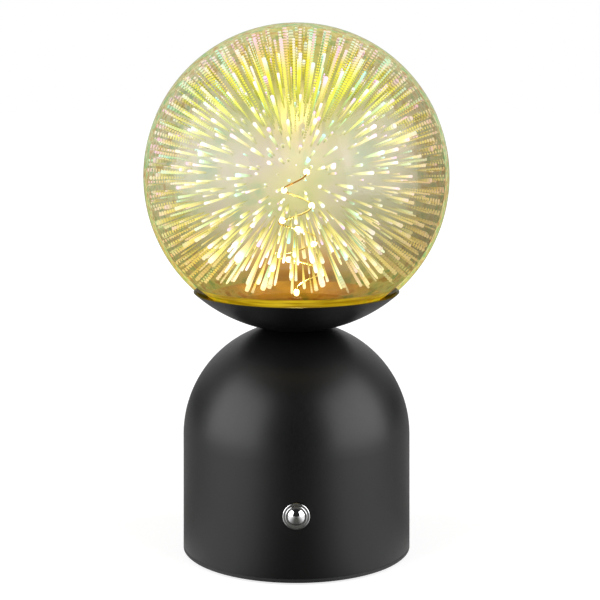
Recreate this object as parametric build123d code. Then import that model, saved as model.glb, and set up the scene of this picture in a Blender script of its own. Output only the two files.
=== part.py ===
from build123d import *
from math import acos, asin, cos, degrees, pi, radians, sin, sqrt
import os

os.makedirs("parts", exist_ok=True)

# A battery table lamp: a mirrored glass globe in a shallow bowl on a domed base.
# Millimetres and degrees. The origin is on the table under the middle of the lamp, +Z is up,
# and the push button faces -Y.

# Glass globe, its seal and the bowl that carries it
globe_diameter = 120.0
globe_wall = 1.6
globe_mouth_diameter = 66.0
seal_depth = 5.0
seal_overlap = 3.0
seal_lip = 1.0
bowl_wall = 0.7
bowl_gap = 0.3
bowl_depth = 14.4

# Base shell
dome_diameter = 91.2
side_draft = 0.65
shell_wall = 1.2
neck_diameter = 25.6

# Bottom cover, foot ring and the screws that hold the cover
foot_stand = 0.8
foot_groove = 0.8
foot_width = 6.0
cover_rim = 1.6
cover_plate = 2.0
spigot_height = 4.0
spigot_wall = 1.6
edge_break = 0.3
lug_height = 6.0
lug_width = 10.0
lug_reach = 10.0
lug_lift = 2.0
cover_screw_inset = 6.2
cover_screw_diameter = 3.0
cover_screw_head = 5.4
cover_screw_length = 8.0
cover_boss_diameter = 9.0
cover_screw_recess = 3.6

# Battery holder, its cells and the twist-off door
cell_diameter = 14.5
cell_length = 50.5
cell_nub_diameter = 5.5
cell_nub_height = 1.0
cell_web = 0.9
pocket_gap = 0.25
holder_wall = 1.5
holder_roof = 1.6
flange_thickness = 2.0
contact_board_thickness = 1.2
contact_thickness = 0.3
contact_diameter = 7.0
contact_spring_length = 4.0
contact_spring_diameter = 4.4
contact_spring_wire = 0.6
contact_spring_turns = 2.5
door_margin = 1.2
tab_reach = 2.2
tab_height = 1.4
tab_span = 24.0
door_turn = 30.0
coin_slot_length = 18.0
coin_slot_width = 2.2
coin_slot_depth = 1.1
post_diameter = 5.6

# Driver board on top of the holder
board_thickness = 1.6
board_stand = 2.5
board_margin = 1.0
connector_height = 5.0
connector_depth = 4.8
small_screw_diameter = 2.0
small_screw_head = 3.6
small_screw_head_height = 1.3
small_screw_length = 3.4

# Cross recess and rounding of every screw head, as shares of the head
recess_length_share = 0.55
recess_width_share = 0.14
head_round_share = 0.33

# Hollow stem through dome and bowl
stem_diameter = 10.0
stem_bore = 7.0
stem_tail = 3.0
washer_thickness = 1.0
washer_diameter = 19.0
stem_nut_across = 15.0
stem_nut_height = 4.0
bowl_nut_flange = 2.0
bowl_nut_hub_diameter = 19.0
bowl_nut_hub = 4.0
bush_wall = 0.9
bush_length = 4.0

# Light wire and its holder
holder_cap_wall = 1.5
holder_cap_roof = 2.0
nipple_diameter = 4.0
nipple_height = 3.0
light_wire_diameter = 0.7
light_wire_riser = 2.0
curl_start_diameter = 20.0
curl_end_diameter = 8.0
curl_lift = 8.0
curl_height = 40.0
curl_turns = 3
bead_diameter = 2.4
bead_count = 10

# Push button
button_height = 27.2
button_dome_diameter = 6.6
button_crown = 1.6
button_stand = 3.0
button_head = 4.5
button_stem_diameter = 2.2
button_travel = 1.0
sleeve_diameter = 7.8
sleeve_lip_diameter = 8.3
sleeve_lip_height = 0.4
sleeve_lip_round = 0.25
sleeve_length = 7.2
sleeve_floor = 1.2
clip_diameter = 4.4
clip_thickness = 0.5
clip_groove_depth = 0.25
stem_reach = 1.5
collar_diameter = 10.4
collar_height = 1.1
collar_spigot_diameter = 9.2
collar_spigot = 0.6
collar_round = 0.35
collar_hollow = 0.05
spring_diameter = 4.2
spring_wire = 0.5
spring_turns = 4.0

# Switch behind the button
saddle_diameter = 13.0
saddle_flat = 2.4
bracket_sheet = 1.0
bracket_width = 18.0
bracket_height = 11.0
bracket_foot = 6.0
sleeve_nut_across = 11.0
sleeve_nut_height = 2.0
plunger_diameter = 3.2
plunger_stand = 1.5
plunger_root = 0.8
switch_width = 6.0
switch_depth = 3.5
switch_board_height = 10.0

# Leads
lead_diameter = 1.2
lead_spacing = 3.2
lead_bend = 3.0
lead_room = 10.7

# Fits: radial room in a running fit, in a thread, between drawn or moulded parts, and to a moving face
slide_fit = 0.05
thread_fit = 0.03
mould_gap = 0.15
running_gap = 0.3

# Radii worked out from the sizes above
draft = radians(side_draft)
globe_radius = globe_diameter / 2
globe_inner_radius = globe_radius - globe_wall
bowl_inner_radius = globe_radius + bowl_gap
bowl_outer_radius = bowl_inner_radius + bowl_wall
dome_radius = dome_diameter / 2
neck_radius = neck_diameter / 2

# Heights from the table up, each piece on the one before it: the base is as tall as what stands in it
foot_top = foot_stand + foot_groove
shell_low = foot_stand + cover_rim
cover_top = foot_stand + cover_plate
tab_low = cover_top + mould_gap
tab_high = tab_low + tab_height
holder_low = tab_high + running_gap
contact_board_top = holder_low + contact_board_thickness
cell_low = contact_board_top + contact_thickness
cell_high = cell_low + cell_length
plate_low = cell_high + contact_spring_length
roof_low = plate_low + contact_thickness
roof_high = roof_low + holder_roof
board_low = roof_high + board_stand
board_high = board_low + board_thickness
connector_top = board_high + connector_height
stem_low = connector_top + lead_room
stem_nut_low = stem_low + stem_tail
washer_low = stem_nut_low + stem_nut_height
washer_high = washer_low + washer_thickness
neck_level = washer_high + shell_wall
dome_centre = neck_level - sqrt(dome_radius**2 - neck_radius**2)
bowl_floor = neck_level + bowl_wall
bowl_rim = neck_level + bowl_depth
bowl_nut_step = bowl_floor + bowl_nut_flange
bowl_nut_high = bowl_nut_step + bowl_nut_hub
globe_centre = neck_level + sqrt(bowl_outer_radius**2 - neck_radius**2)


def side_radius(height, inset=0.0):
    """Radius of the drafted side of the base at a height, inset inside its outer face."""
    return (dome_radius - inset + (dome_centre - height) * sin(draft)) / cos(draft)


def turned(outline):
    """Solid turned about Z from the closed outline of (radius, height) edges."""
    return revolve(Plane.XZ * make_face(outline), Axis.Z)


def turned_points(*points):
    """Solid turned about Z from a closed outline of straight runs between (radius, height) points."""
    return turned(Polyline(*points, close=True).edges())


def disc(radius, low, high, hole=0.0):
    """Round plate about Z between two heights, with a central hole if one is given."""
    face = Circle(radius)
    if hole > 0:
        face -= Circle(hole)
    return Pos(0, 0, low) * extrude(face, high - low)


def sector(inner, outer, low, high, middle, span):
    """Part of a ring about Z, span degrees wide, centred on the angle middle."""
    face = Pos((inner + outer) / 2, (low + high) / 2) * Rectangle(outer - inner, high - low)
    return Rot(0, 0, middle - span / 2) * revolve(Plane.XZ * face, Axis.Z, span)


def polar(radius, angle, height=0.0):
    """Place at a radius and an angle about Z."""
    return Pos(radius * cos(radians(angle)), radius * sin(radians(angle)), height)


def hex_nut(across, low, high, bore):
    """Hexagonal nut about Z."""
    face = RegularPolygon(across / 2, 6, major_radius=False) - Circle(bore)
    return Pos(0, 0, low) * extrude(face, high - low)


def screw(diameter, head_diameter, head_height, length):
    """Pan-head screw pointing down, with the underside of its head at height 0 and a cross recess."""
    head = disc(head_diameter / 2, 0, head_height)
    head = fillet(head.edges().group_by(Axis.Z)[-1], head_height * head_round_share)
    shank = disc(diameter / 2, -length, 0)
    wing = Box(head_diameter * recess_length_share, head_diameter * recess_width_share, head_height)
    cross = Pos(0, 0, head_height) * (wing + Rot(0, 0, 90) * wing)
    return head + shank - cross


def tangent_arcs(stations):
    """Smooth path of arcs, two between each pair of (point, direction) stations."""
    edges = []
    for (start, leaving), (end, arriving) in zip(stations, stations[1:]):
        leaving = leaving.normalized()
        arriving = arriving.normalized()
        chord = end - start
        both = leaving + arriving
        bend = 2 * (1 - leaving.dot(arriving))
        along = chord.dot(both)
        reach = (sqrt(along**2 + bend * chord.dot(chord)) - along) / bend
        first = start + leaving * reach
        second = end - arriving * reach
        middle = (first + second) * 0.5
        edges.append(TangentArc(start, middle, tangent=leaving))
        edges.append(TangentArc(middle, end, tangent=second - first))
    return edges


def spiral_stations(start_radius, end_radius, low, high, turns):
    """Quarter-turn stations of a spiral about Z whose radius changes evenly with its height."""
    stations = []
    steps = round(turns * 4)
    for step in range(steps + 1):
        share = step / steps
        angle = 2 * pi * turns * share
        radius = start_radius + (end_radius - start_radius) * share
        outward = Vector(cos(angle), sin(angle), 0)
        sideways = Vector(-sin(angle), cos(angle), 0)
        point = outward * radius + Vector(0, 0, low + (high - low) * share)
        direction = (
            outward * (end_radius - start_radius)
            + sideways * (2 * pi * turns * radius)
            + Vector(0, 0, high - low)
        )
        stations.append((point, direction))
    return stations


def swept(path, diameter):
    """Round bar along a path."""
    start = Plane(origin=path @ 0, z_dir=path % 0)
    return sweep(start * Circle(diameter / 2), path=path)


def spring(mean_diameter, wire, low, high, turns):
    """Coil spring about Z that fills the room between two heights."""
    clear = wire / 2 + slide_fit
    stations = spiral_stations(mean_diameter / 2, mean_diameter / 2, low + clear, high - clear, turns)
    pitch = (high - low - 2 * clear) / turns
    print(f"coil of {turns} turns: least gap to itself {pitch - wire:.2f} mm")
    return swept(Wire(tangent_arcs(stations)), wire)


def lead(*points):
    """Insulated lead along straight runs with rounded corners."""
    return swept(FilletPolyline(*points, radius=lead_bend), lead_diameter)


def base_form(inset, low, top):
    """Solid form of the base, inset inside its outer face, cut flat at low and top."""
    radius = dome_radius - inset
    start = (radius * cos(draft), dome_centre + radius * sin(draft))
    top_angle = asin((top - dome_centre) / radius)
    outline = [
        Line((0, low), (side_radius(low, inset), low)),
        Line((side_radius(low, inset), low), start),
        CenterArc((0, dome_centre), radius, side_draft, degrees(top_angle) - side_draft),
        Line((radius * cos(top_angle), top), (0, top)),
        Line((0, top), (0, low)),
    ]
    return turned(outline)


def side_plug(inset, low, high):
    """Solid that fills the drafted side between two heights, inset inside its outer face."""
    low_radius = side_radius(low, inset)
    high_radius = side_radius(high, inset)
    return turned_points((0, low), (low_radius, low), (high_radius, high), (0, high))


# Button place: a flat pressed into the drafted side, just deep enough for the collar
collar_spigot_radius = collar_spigot_diameter / 2
button_flat_radius = collar_diameter / 2 + running_gap
button_side = side_radius(button_height)
button_flat_depth = (
    button_side - sqrt(button_side**2 - button_flat_radius**2) + button_flat_radius * sin(draft)
)
button_seat = button_side - button_flat_depth
button_frame = Plane(origin=(0, -button_seat, button_height), x_dir=(1, 0, 0), z_dir=(0, 1, 0))

# Base shell: drawn steel with a flat seat on top, the stem hole, and the flat and hole for the button
stem_radius = stem_diameter / 2
stem_hole = stem_radius + mould_gap
base_shell = base_form(0, shell_low, neck_level)
base_shell -= base_form(shell_wall, shell_low, neck_level - shell_wall)
base_shell -= disc(stem_hole, neck_level - 2 * shell_wall, neck_level + shell_wall)
base_shell -= button_frame * disc(button_flat_radius, -button_flat_depth - shell_wall, 0)
base_shell -= button_frame * disc(collar_spigot_radius + slide_fit, -shell_wall, 3 * shell_wall)

# Lugs welded inside the shell, one for each screw of the bottom cover
cover_screw_angles = (90, 210, 330)
lug_low = shell_low + spigot_height + lug_lift
lug_high = lug_low + lug_height
lug_wall_radius = side_radius(lug_low, shell_wall)
cover_screw_circle = lug_wall_radius - cover_screw_inset
lug_block = Pos(lug_wall_radius - lug_reach / 2 + shell_wall / 2, 0, (lug_low + lug_high) / 2) * Box(
    lug_reach + shell_wall, lug_width, lug_height
)
lug_block -= polar(cover_screw_circle, 0, lug_low) * disc(
    cover_screw_diameter / 2 + thread_fit, 0, lug_height
)
lug = lug_block & side_plug(shell_wall, lug_low, lug_high)
cover_lugs = Part() + [Rot(0, 0, angle) * lug for angle in cover_screw_angles]

# Battery door sizes, taken from the circle of cells that has to pass through its hole
cell_radius = cell_diameter / 2
cell_circle = (cell_diameter + cell_web) / sqrt(3)
cell_angles = (90, 210, 330)
pocket_radius = cell_radius + pocket_gap
door_radius = cell_circle + pocket_radius + door_margin
tab_angles = (30, 150, 270)
tab_radius = door_radius + tab_reach
door_hole = door_radius + mould_gap
notch_span = tab_span + 4 * degrees(mould_gap / door_radius)

# Bottom cover: a plate flush with the shell, a spigot inside it, bosses for the screws,
# posts for the battery holder and a hole with three notches for the twist-off door
post_radius = post_diameter / 2
post_circle = tab_radius + 2 * running_gap + post_radius
post_angles = (0, 120, 240)
cover_radius = side_radius(shell_low)
recess_radius = cover_screw_head / 2 + running_gap
recess_high = foot_stand + cover_screw_recess
spigot_top = shell_low + spigot_height
spigot_radius = side_radius(shell_low, shell_wall) - mould_gap
spigot_top_radius = side_radius(spigot_top, shell_wall) - mould_gap
foot_outer_radius = cover_screw_circle - recess_radius - 2 * running_gap
foot_inner_radius = foot_outer_radius - foot_width

bottom_cover = turned_points(
    (0, foot_stand),
    (cover_radius - edge_break, foot_stand),
    (cover_radius, foot_stand + edge_break),
    (cover_radius, shell_low - edge_break),
    (cover_radius - edge_break, shell_low),
    (spigot_radius, shell_low),
    (spigot_top_radius, spigot_top),
    (spigot_top_radius - spigot_wall, spigot_top),
    (spigot_top_radius - spigot_wall, cover_top),
    (0, cover_top),
)
for angle in cover_screw_angles:
    boss = disc(cover_boss_diameter / 2, cover_top - edge_break, lug_low)
    bottom_cover += polar(cover_screw_circle, angle) * boss
for angle in cover_screw_angles:
    recess = disc(recess_radius, 0, recess_high)
    hole = disc(cover_screw_diameter / 2 + mould_gap, 0, lug_high)
    bottom_cover -= polar(cover_screw_circle, angle) * (recess + hole)
for angle in post_angles:
    post = disc(post_radius, cover_top - edge_break, holder_low)
    hole = disc(small_screw_diameter / 2 + thread_fit, foot_top, holder_low)
    bottom_cover += polar(post_circle, angle) * post
    bottom_cover -= polar(post_circle, angle) * hole
bottom_cover -= disc(foot_outer_radius + mould_gap, 0, foot_top, foot_inner_radius - mould_gap)
bottom_cover -= disc(door_hole, 0, cover_top)
for angle in tab_angles:
    bottom_cover -= sector(
        door_radius / 2, tab_radius + mould_gap, 0, cover_top, angle + door_turn, notch_span
    )

# Foot ring: soft ring glued in a groove under the cover, the only part that touches the table
foot_ring = disc(foot_outer_radius, 0, foot_top, foot_inner_radius)
foot_ring = fillet(foot_ring.edges().group_by(Axis.Z)[0], edge_break)

# Screws of the bottom cover, driven from below into the lugs
cover_screw = Rot(180, 0, 0) * screw(
    cover_screw_diameter, cover_screw_head, cover_screw_recess / 2, cover_screw_length
)
cover_screws = Part() + [
    polar(cover_screw_circle, angle, recess_high) * cover_screw for angle in cover_screw_angles
]

# Battery door: a disc with three tabs that turn behind the cover, and a coin slot
battery_door = disc(door_radius, foot_stand, cover_top)
battery_door += disc(door_radius - edge_break, cover_top, tab_high)
for angle in tab_angles:
    battery_door += sector(door_radius / 2, tab_radius, tab_low, tab_high, angle, tab_span)
battery_door -= Pos(0, 0, foot_stand) * Box(coin_slot_length, coin_slot_width, 2 * coin_slot_depth)

# Battery holder: a moulded body with three pockets, open below, on a flange screwed to the posts
holder_radius = cell_circle + pocket_radius + holder_wall
contact_board_radius = cell_circle + pocket_radius
standoff_circle = holder_radius - post_radius - running_gap
standoff_angles = (0, 120, 240)
lead_hole = lead_diameter / 2 + mould_gap

battery_holder = disc(holder_radius, holder_low, roof_high)
battery_holder += disc(post_circle + post_radius, holder_low, holder_low + flange_thickness)
battery_holder -= disc(contact_board_radius + mould_gap, holder_low, contact_board_top)
for angle in cell_angles:
    battery_holder -= polar(cell_circle, angle) * disc(pocket_radius, holder_low, roof_low)
    battery_holder -= polar(cell_circle, angle) * disc(lead_hole, roof_low, roof_high)
for angle in standoff_angles:
    standoff = disc(post_radius, roof_high, board_low, small_screw_diameter / 2 + thread_fit)
    battery_holder += polar(standoff_circle, angle) * standoff
for angle in post_angles:
    hole = disc(small_screw_diameter / 2 + mould_gap, holder_low, holder_low + flange_thickness)
    battery_holder -= polar(post_circle, angle) * hole

small_screw = screw(small_screw_diameter, small_screw_head, small_screw_head_height, small_screw_length)
holder_screws = Part() + [
    polar(post_circle, angle, holder_low + flange_thickness) * small_screw for angle in post_angles
]

# Cells: three in series, the middle one turned over
cell_body = disc(cell_radius, 0, cell_length - cell_nub_height)
cell_body = fillet(cell_body.edges(), edge_break)
cell = cell_body + disc(cell_nub_diameter / 2, cell_length - cell_nub_height, cell_length)
turned_cell = Pos(0, 0, cell_length) * Rot(180, 0, 0) * cell
battery_cells = Part() + [
    polar(cell_circle, angle, cell_low) * (turned_cell if angle == cell_angles[1] else cell)
    for angle in cell_angles
]

# Contacts: a board with three pads under the cells, and a plate with a spring above each
contact_board = disc(contact_board_radius, holder_low, contact_board_top)
contact_pads = Part() + [
    polar(cell_circle, angle) * disc(contact_diameter / 2, contact_board_top, cell_low)
    for angle in cell_angles
]
contact_plates = Part() + [
    polar(cell_circle, angle) * disc(contact_diameter / 2, plate_low, roof_low) for angle in cell_angles
]
contact_spring = spring(
    contact_spring_diameter, contact_spring_wire, cell_high, plate_low, contact_spring_turns
)
contact_springs = Part() + [polar(cell_circle, angle) * contact_spring for angle in cell_angles]

# Driver board on the holder's standoffs, with its chips and the two plugs for the leads
board_radius = holder_radius - board_margin
main_board = disc(board_radius, board_low, board_high)
for angle in standoff_angles:
    hole = disc(small_screw_diameter / 2 + mould_gap, board_low, board_high)
    main_board -= polar(standoff_circle, angle) * hole
main_board_screws = Part() + [
    polar(standoff_circle, angle, board_high) * small_screw for angle in standoff_angles
]

# Each chip has its place across and along the board, then its length, width and height
chip_layout = (
    (-6.0, 1.5, 5.0, 4.0, 1.5),
    (5.5, 2.0, 6.0, 6.0, 3.0),
    (-6.0, -4.0, 3.2, 1.6, 1.2),
    (-1.5, 0.5, 1.6, 3.2, 1.2),
    (6.0, -4.5, 3.0, 1.8, 1.1),
)
seat_on_floor = (Align.CENTER, Align.CENTER, Align.MIN)
board_chips = Part() + [
    Pos(x, y, board_high) * Box(length, width, height, align=seat_on_floor)
    for x, y, length, width, height in chip_layout
]

connector_width = 2 * lead_spacing + lead_diameter
connector_reach = board_radius - connector_depth
connector = Box(connector_width, connector_depth, connector_height, align=seat_on_floor)
lead_connectors = Part() + [
    Pos(0, place, board_high) * connector for place in (connector_reach, -connector_reach)
]

# Leads from the contact plates up through the holder's roof to the board
battery_lead = disc(lead_diameter / 2, roof_low, board_low)
battery_leads = Part() + [polar(cell_circle, angle) * battery_lead for angle in cell_angles[1:]]

# Stem: a hollow threaded tube with washer, nut and bushing that clamps the dome to the bowl
stem_bore_radius = stem_bore / 2
neck_stem = chamfer(
    disc(stem_radius, stem_low, bowl_nut_high).edges().filter_by(GeomType.CIRCLE), edge_break
)
neck_stem -= disc(stem_bore_radius, stem_low, bowl_nut_high)
lock_washer = disc(washer_diameter / 2, washer_low, washer_high, stem_hole)
stem_nut = hex_nut(stem_nut_across, stem_nut_low, washer_low, stem_radius + thread_fit)
bush_radius = stem_bore_radius - slide_fit
stem_bush = disc(bush_radius, stem_low, stem_low + bush_length, bush_radius - bush_wall)
stem_bush += disc(stem_radius, stem_low - bush_wall, stem_low, bush_radius - bush_wall)

# Bowl: thin drawn steel, a cap of a sphere about the globe's centre with a flat floor and a plain rim
rim_outer_angle = degrees(asin((bowl_rim - globe_centre) / bowl_outer_radius))
rim_inner_angle = degrees(asin((bowl_rim - globe_centre) / bowl_inner_radius))
seat_angle = degrees(asin((neck_level - globe_centre) / bowl_outer_radius))
floor_angle = degrees(asin((bowl_floor - globe_centre) / bowl_inner_radius))
floor_radius = bowl_inner_radius * cos(radians(floor_angle))
rim_outer_radius = bowl_outer_radius * cos(radians(rim_outer_angle))
rim_inner_radius = bowl_inner_radius * cos(radians(rim_inner_angle))
bowl = turned(
    [
        Line((stem_hole, neck_level), (neck_radius, neck_level)),
        CenterArc((0, globe_centre), bowl_outer_radius, seat_angle, rim_outer_angle - seat_angle),
        Line((rim_outer_radius, bowl_rim), (rim_inner_radius, bowl_rim)),
        CenterArc((0, globe_centre), bowl_inner_radius, floor_angle, rim_inner_angle - floor_angle),
        Line((floor_radius, bowl_floor), (stem_hole, bowl_floor)),
        Line((stem_hole, bowl_floor), (stem_hole, neck_level)),
    ]
)

# Round nut inside the bowl, on top of the stem
bowl_nut_radius = neck_radius - 2 * running_gap
bowl_nut = disc(bowl_nut_radius, bowl_floor, bowl_nut_step)
bowl_nut += disc(bowl_nut_hub_diameter / 2, bowl_nut_step, bowl_nut_high)
bowl_nut -= disc(stem_radius + thread_fit, bowl_floor, bowl_nut_high)

# Wire holder: a moulded cap pressed over the nut, with a nipple that the light wire comes out of
cap_inner_radius = bowl_nut_hub_diameter / 2 + slide_fit
cap_top = bowl_nut_high + holder_cap_roof
nipple_top = cap_top + nipple_height
wire_bore = light_wire_diameter / 2 + slide_fit
wire_holder = disc(cap_inner_radius + holder_cap_wall, bowl_nut_step, cap_top)
wire_holder = fillet(wire_holder.edges().group_by(Axis.Z)[-1], holder_cap_wall / 2)
wire_holder -= disc(cap_inner_radius, bowl_nut_step, bowl_nut_high)
wire_holder += disc(nipple_diameter / 2, cap_top, nipple_top)
wire_holder -= disc(wire_bore, bowl_nut_high, nipple_top)

# Light wire: a stiff thin wire that rises from the nipple and curls up to the middle of the globe
riser_top = nipple_top + light_wire_riser
curl_low = riser_top + curl_lift
curl = spiral_stations(
    curl_start_diameter / 2, curl_end_diameter / 2, curl_low, curl_low + curl_height, curl_turns
)
riser = Line((0, 0, bowl_nut_high), (0, 0, riser_top))
curl_path = Wire([riser] + tangent_arcs([(Vector(0, 0, riser_top), Vector(0, 0, 1))] + curl))
light_wire = swept(curl_path, light_wire_diameter)
print(f"light wire: least gap to itself {curl_height / curl_turns - light_wire_diameter:.2f} mm")

# Beads of resin on the light wire, each over one light: the first on the riser, the rest along the curl
bead_radius = bead_diameter / 2
bead_bore = light_wire_diameter / 2 + slide_fit + bead_radius**2 / curl_end_diameter
bead = Sphere(bead_radius) - Cylinder(bead_bore, bead_diameter)
first_bead = riser_top - bowl_nut_high
bead_step = (curl_path.length - first_bead) / (bead_count - 1)
light_beads = Part()
for index in range(bead_count):
    place = first_bead + bead_step * index
    point = curl_path.position_at(place, position_mode=PositionMode.LENGTH)
    direction = curl_path.tangent_at(place, position_mode=PositionMode.LENGTH)
    light_beads += Plane(origin=point, z_dir=direction) * bead

# Globe: blown glass with a round mouth below
mouth_angle = -degrees(acos(globe_mouth_diameter / globe_diameter))
mouth_turn = radians(mouth_angle)
globe = turned(
    [
        CenterArc((0, globe_centre), globe_radius, mouth_angle, 90 - mouth_angle),
        Line((0, globe_centre + globe_radius), (0, globe_centre + globe_inner_radius)),
        CenterArc((0, globe_centre), globe_inner_radius, mouth_angle, 90 - mouth_angle),
        Line(
            (globe_inner_radius * cos(mouth_turn), globe_centre + globe_inner_radius * sin(mouth_turn)),
            (globe_radius * cos(mouth_turn), globe_centre + globe_radius * sin(mouth_turn)),
        ),
    ]
)


def seal_band(inner, outer, low_angle, high_angle):
    """Ring between two spheres about the globe's centre and two angles below its middle."""
    corners = [
        (radius * cos(radians(angle)), globe_centre + radius * sin(radians(angle)))
        for angle, radius in (
            (low_angle, inner),
            (low_angle, outer),
            (high_angle, outer),
            (high_angle, inner),
        )
    ]
    return turned(
        [
            Line(corners[0], corners[1]),
            CenterArc((0, globe_centre), outer, low_angle, high_angle - low_angle),
            Line(corners[2], corners[3]),
            CenterArc((0, globe_centre), inner, low_angle, high_angle - low_angle),
        ]
    )


# Seal: a silicone ring with a groove for the edge of the globe's mouth, lying in the bowl
seal_low_angle = mouth_angle - degrees(seal_depth / globe_radius)
seal_high_angle = mouth_angle + degrees(seal_overlap / globe_radius)
groove_angle = mouth_angle - degrees(slide_fit / globe_radius)
globe_seal = seal_band(
    globe_inner_radius - seal_lip, bowl_inner_radius - slide_fit, seal_low_angle, seal_high_angle
)
globe_seal -= seal_band(
    globe_inner_radius - slide_fit, globe_radius + slide_fit, groove_angle, seal_high_angle + seal_lip
)

# Button, along its own axis from the flat on the shell inwards: the chrome collar, hollowed a little
# round its face, and the chrome sleeve with a rounded lip
sleeve_radius = sleeve_diameter / 2
button_radius = button_dome_diameter / 2
button_bore = button_radius + slide_fit
button_stem_radius = button_stem_diameter / 2
collar_bore = sleeve_radius + slide_fit
collar_radius = collar_diameter / 2
sleeve_front = -collar_height - sleeve_lip_height
lip_radius = sleeve_lip_diameter / 2
hollow_inner = lip_radius + 2 * slide_fit
hollow_outer = collar_radius - collar_round
hollow_bottom = ((hollow_inner + hollow_outer) / 2, collar_hollow - collar_height)
button_collar = button_frame * turned(
    [
        Line((collar_bore, -collar_height), (hollow_inner, -collar_height)),
        ThreePointArc((hollow_inner, -collar_height), hollow_bottom, (hollow_outer, -collar_height)),
        CenterArc((hollow_outer, collar_round - collar_height), collar_round, -90, 90),
        Line((collar_radius, collar_round - collar_height), (collar_radius, 0)),
        Line((collar_radius, 0), (collar_spigot_radius, 0)),
        Line((collar_spigot_radius, 0), (collar_spigot_radius, collar_spigot)),
        Line((collar_spigot_radius, collar_spigot), (collar_bore, collar_spigot)),
        Line((collar_bore, collar_spigot), (collar_bore, -collar_height)),
    ]
)
lip_edge = lip_radius - sleeve_lip_round
cap_stem_bore = button_stem_radius + slide_fit
sleeve_floor_front = sleeve_length - sleeve_floor
button_sleeve = button_frame * turned(
    [
        Line((button_bore, sleeve_front), (lip_edge, sleeve_front)),
        CenterArc((lip_edge, sleeve_front + sleeve_lip_round), sleeve_lip_round, -90, 90),
        Line((lip_radius, sleeve_front + sleeve_lip_round), (lip_radius, -collar_height)),
        Line((lip_radius, -collar_height), (sleeve_radius, -collar_height)),
        Line((sleeve_radius, -collar_height), (sleeve_radius, sleeve_length)),
        Line((sleeve_radius, sleeve_length), (cap_stem_bore, sleeve_length)),
        Line((cap_stem_bore, sleeve_length), (cap_stem_bore, sleeve_floor_front)),
        Line((cap_stem_bore, sleeve_floor_front), (button_bore, sleeve_floor_front)),
        Line((button_bore, sleeve_floor_front), (button_bore, sleeve_front)),
    ]
)

# Button cap: a chrome dome on a stem, with a groove for the clip that keeps it in the sleeve
button_front = -button_stand
button_shoulder = button_front + button_crown
head_back = button_front + button_head
clip_back = sleeve_length + clip_thickness
groove_radius = button_stem_radius - clip_groove_depth
stem_end = clip_back + stem_reach
crown_radius = (button_radius**2 + button_crown**2) / (2 * button_crown)
crown_angle = degrees(asin(button_radius / crown_radius))
button_cap = button_frame * turned(
    [
        CenterArc((0, button_front + crown_radius), crown_radius, -90, crown_angle),
        Line((button_radius, button_shoulder), (button_radius, head_back)),
        Line((button_radius, head_back), (button_stem_radius, head_back)),
        Line((button_stem_radius, head_back), (button_stem_radius, sleeve_length)),
        Line((button_stem_radius, sleeve_length), (groove_radius, sleeve_length)),
        Line((groove_radius, sleeve_length), (groove_radius, clip_back)),
        Line((groove_radius, clip_back), (button_stem_radius, clip_back)),
        Line((button_stem_radius, clip_back), (button_stem_radius, stem_end)),
        Line((button_stem_radius, stem_end), (0, stem_end)),
        Line((0, stem_end), (0, button_front)),
    ]
)
button_clip = button_frame * disc(
    clip_diameter / 2, sleeve_length, clip_back, groove_radius + slide_fit
)
button_spring = button_frame * spring(
    spring_diameter, spring_wire, head_back, sleeve_floor_front, spring_turns
)

# Saddle washer, bracket and nut that clamp the sleeve to the shell from inside
bracket_back = saddle_flat + bracket_sheet
sleeve_nut_back = bracket_back + sleeve_nut_height
switch_front = stem_end + plunger_stand
switch_back = switch_front + switch_depth
bracket_foot_front = switch_back - bracket_sheet
saddle_washer = button_frame * disc(saddle_diameter / 2, 0, saddle_flat, collar_spigot_radius)
saddle_washer &= side_plug(shell_wall, button_height - saddle_diameter, button_height + saddle_diameter)
sleeve_nut = button_frame * hex_nut(
    sleeve_nut_across, bracket_back, sleeve_nut_back, sleeve_radius + thread_fit
)

bracket_plate = Box(bracket_width, bracket_height, bracket_sheet, align=seat_on_floor)
bracket_plate = Pos(0, 0, saddle_flat) * bracket_plate
bracket_plate -= disc(sleeve_radius + slide_fit, saddle_flat, bracket_back)
leg_length = switch_back - saddle_flat
leg = Box(bracket_sheet, bracket_height, leg_length, align=seat_on_floor)
foot = Box(bracket_foot, bracket_height, bracket_sheet, align=seat_on_floor)
foot_hole_place = (bracket_width + bracket_foot) / 2
switch_bracket = bracket_plate
for side in (-1, 1):
    switch_bracket += Pos(side * (bracket_width - bracket_sheet) / 2, 0, saddle_flat) * leg
    switch_bracket += Pos(side * foot_hole_place, 0, bracket_foot_front) * foot
    switch_bracket -= Pos(side * foot_hole_place, 0) * disc(
        small_screw_diameter / 2 + thread_fit, bracket_foot_front, switch_back
    )
switch_bracket = button_frame * switch_bracket

# Push switch on its board: the body has a pocket in which its plunger runs
switch_board_back = switch_back + board_thickness
plunger_radius = plunger_diameter / 2
plunger_back = switch_front + plunger_root
pocket_back = plunger_back + button_travel + running_gap
switch_body = Box(switch_width, switch_width, switch_depth, align=seat_on_floor)
switch_body = Pos(0, 0, switch_front) * switch_body
switch_body -= disc(plunger_radius + slide_fit, switch_front, pocket_back)
switch_body = button_frame * switch_body
switch_plunger = button_frame * disc(plunger_radius, stem_end, plunger_back)

switch_board_length = bracket_width + 2 * bracket_foot
switch_board = Pos(0, 0, switch_back) * Box(
    switch_board_length, switch_board_height, board_thickness, align=seat_on_floor
)
for side in (-1, 1):
    switch_board -= Pos(side * foot_hole_place, 0) * disc(
        small_screw_diameter / 2 + mould_gap, switch_back, switch_board_back
    )
switch_board = button_frame * switch_board
switch_screws = Part() + [
    button_frame * Pos(side * foot_hole_place, 0, switch_board_back) * small_screw for side in (-1, 1)
]

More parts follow.
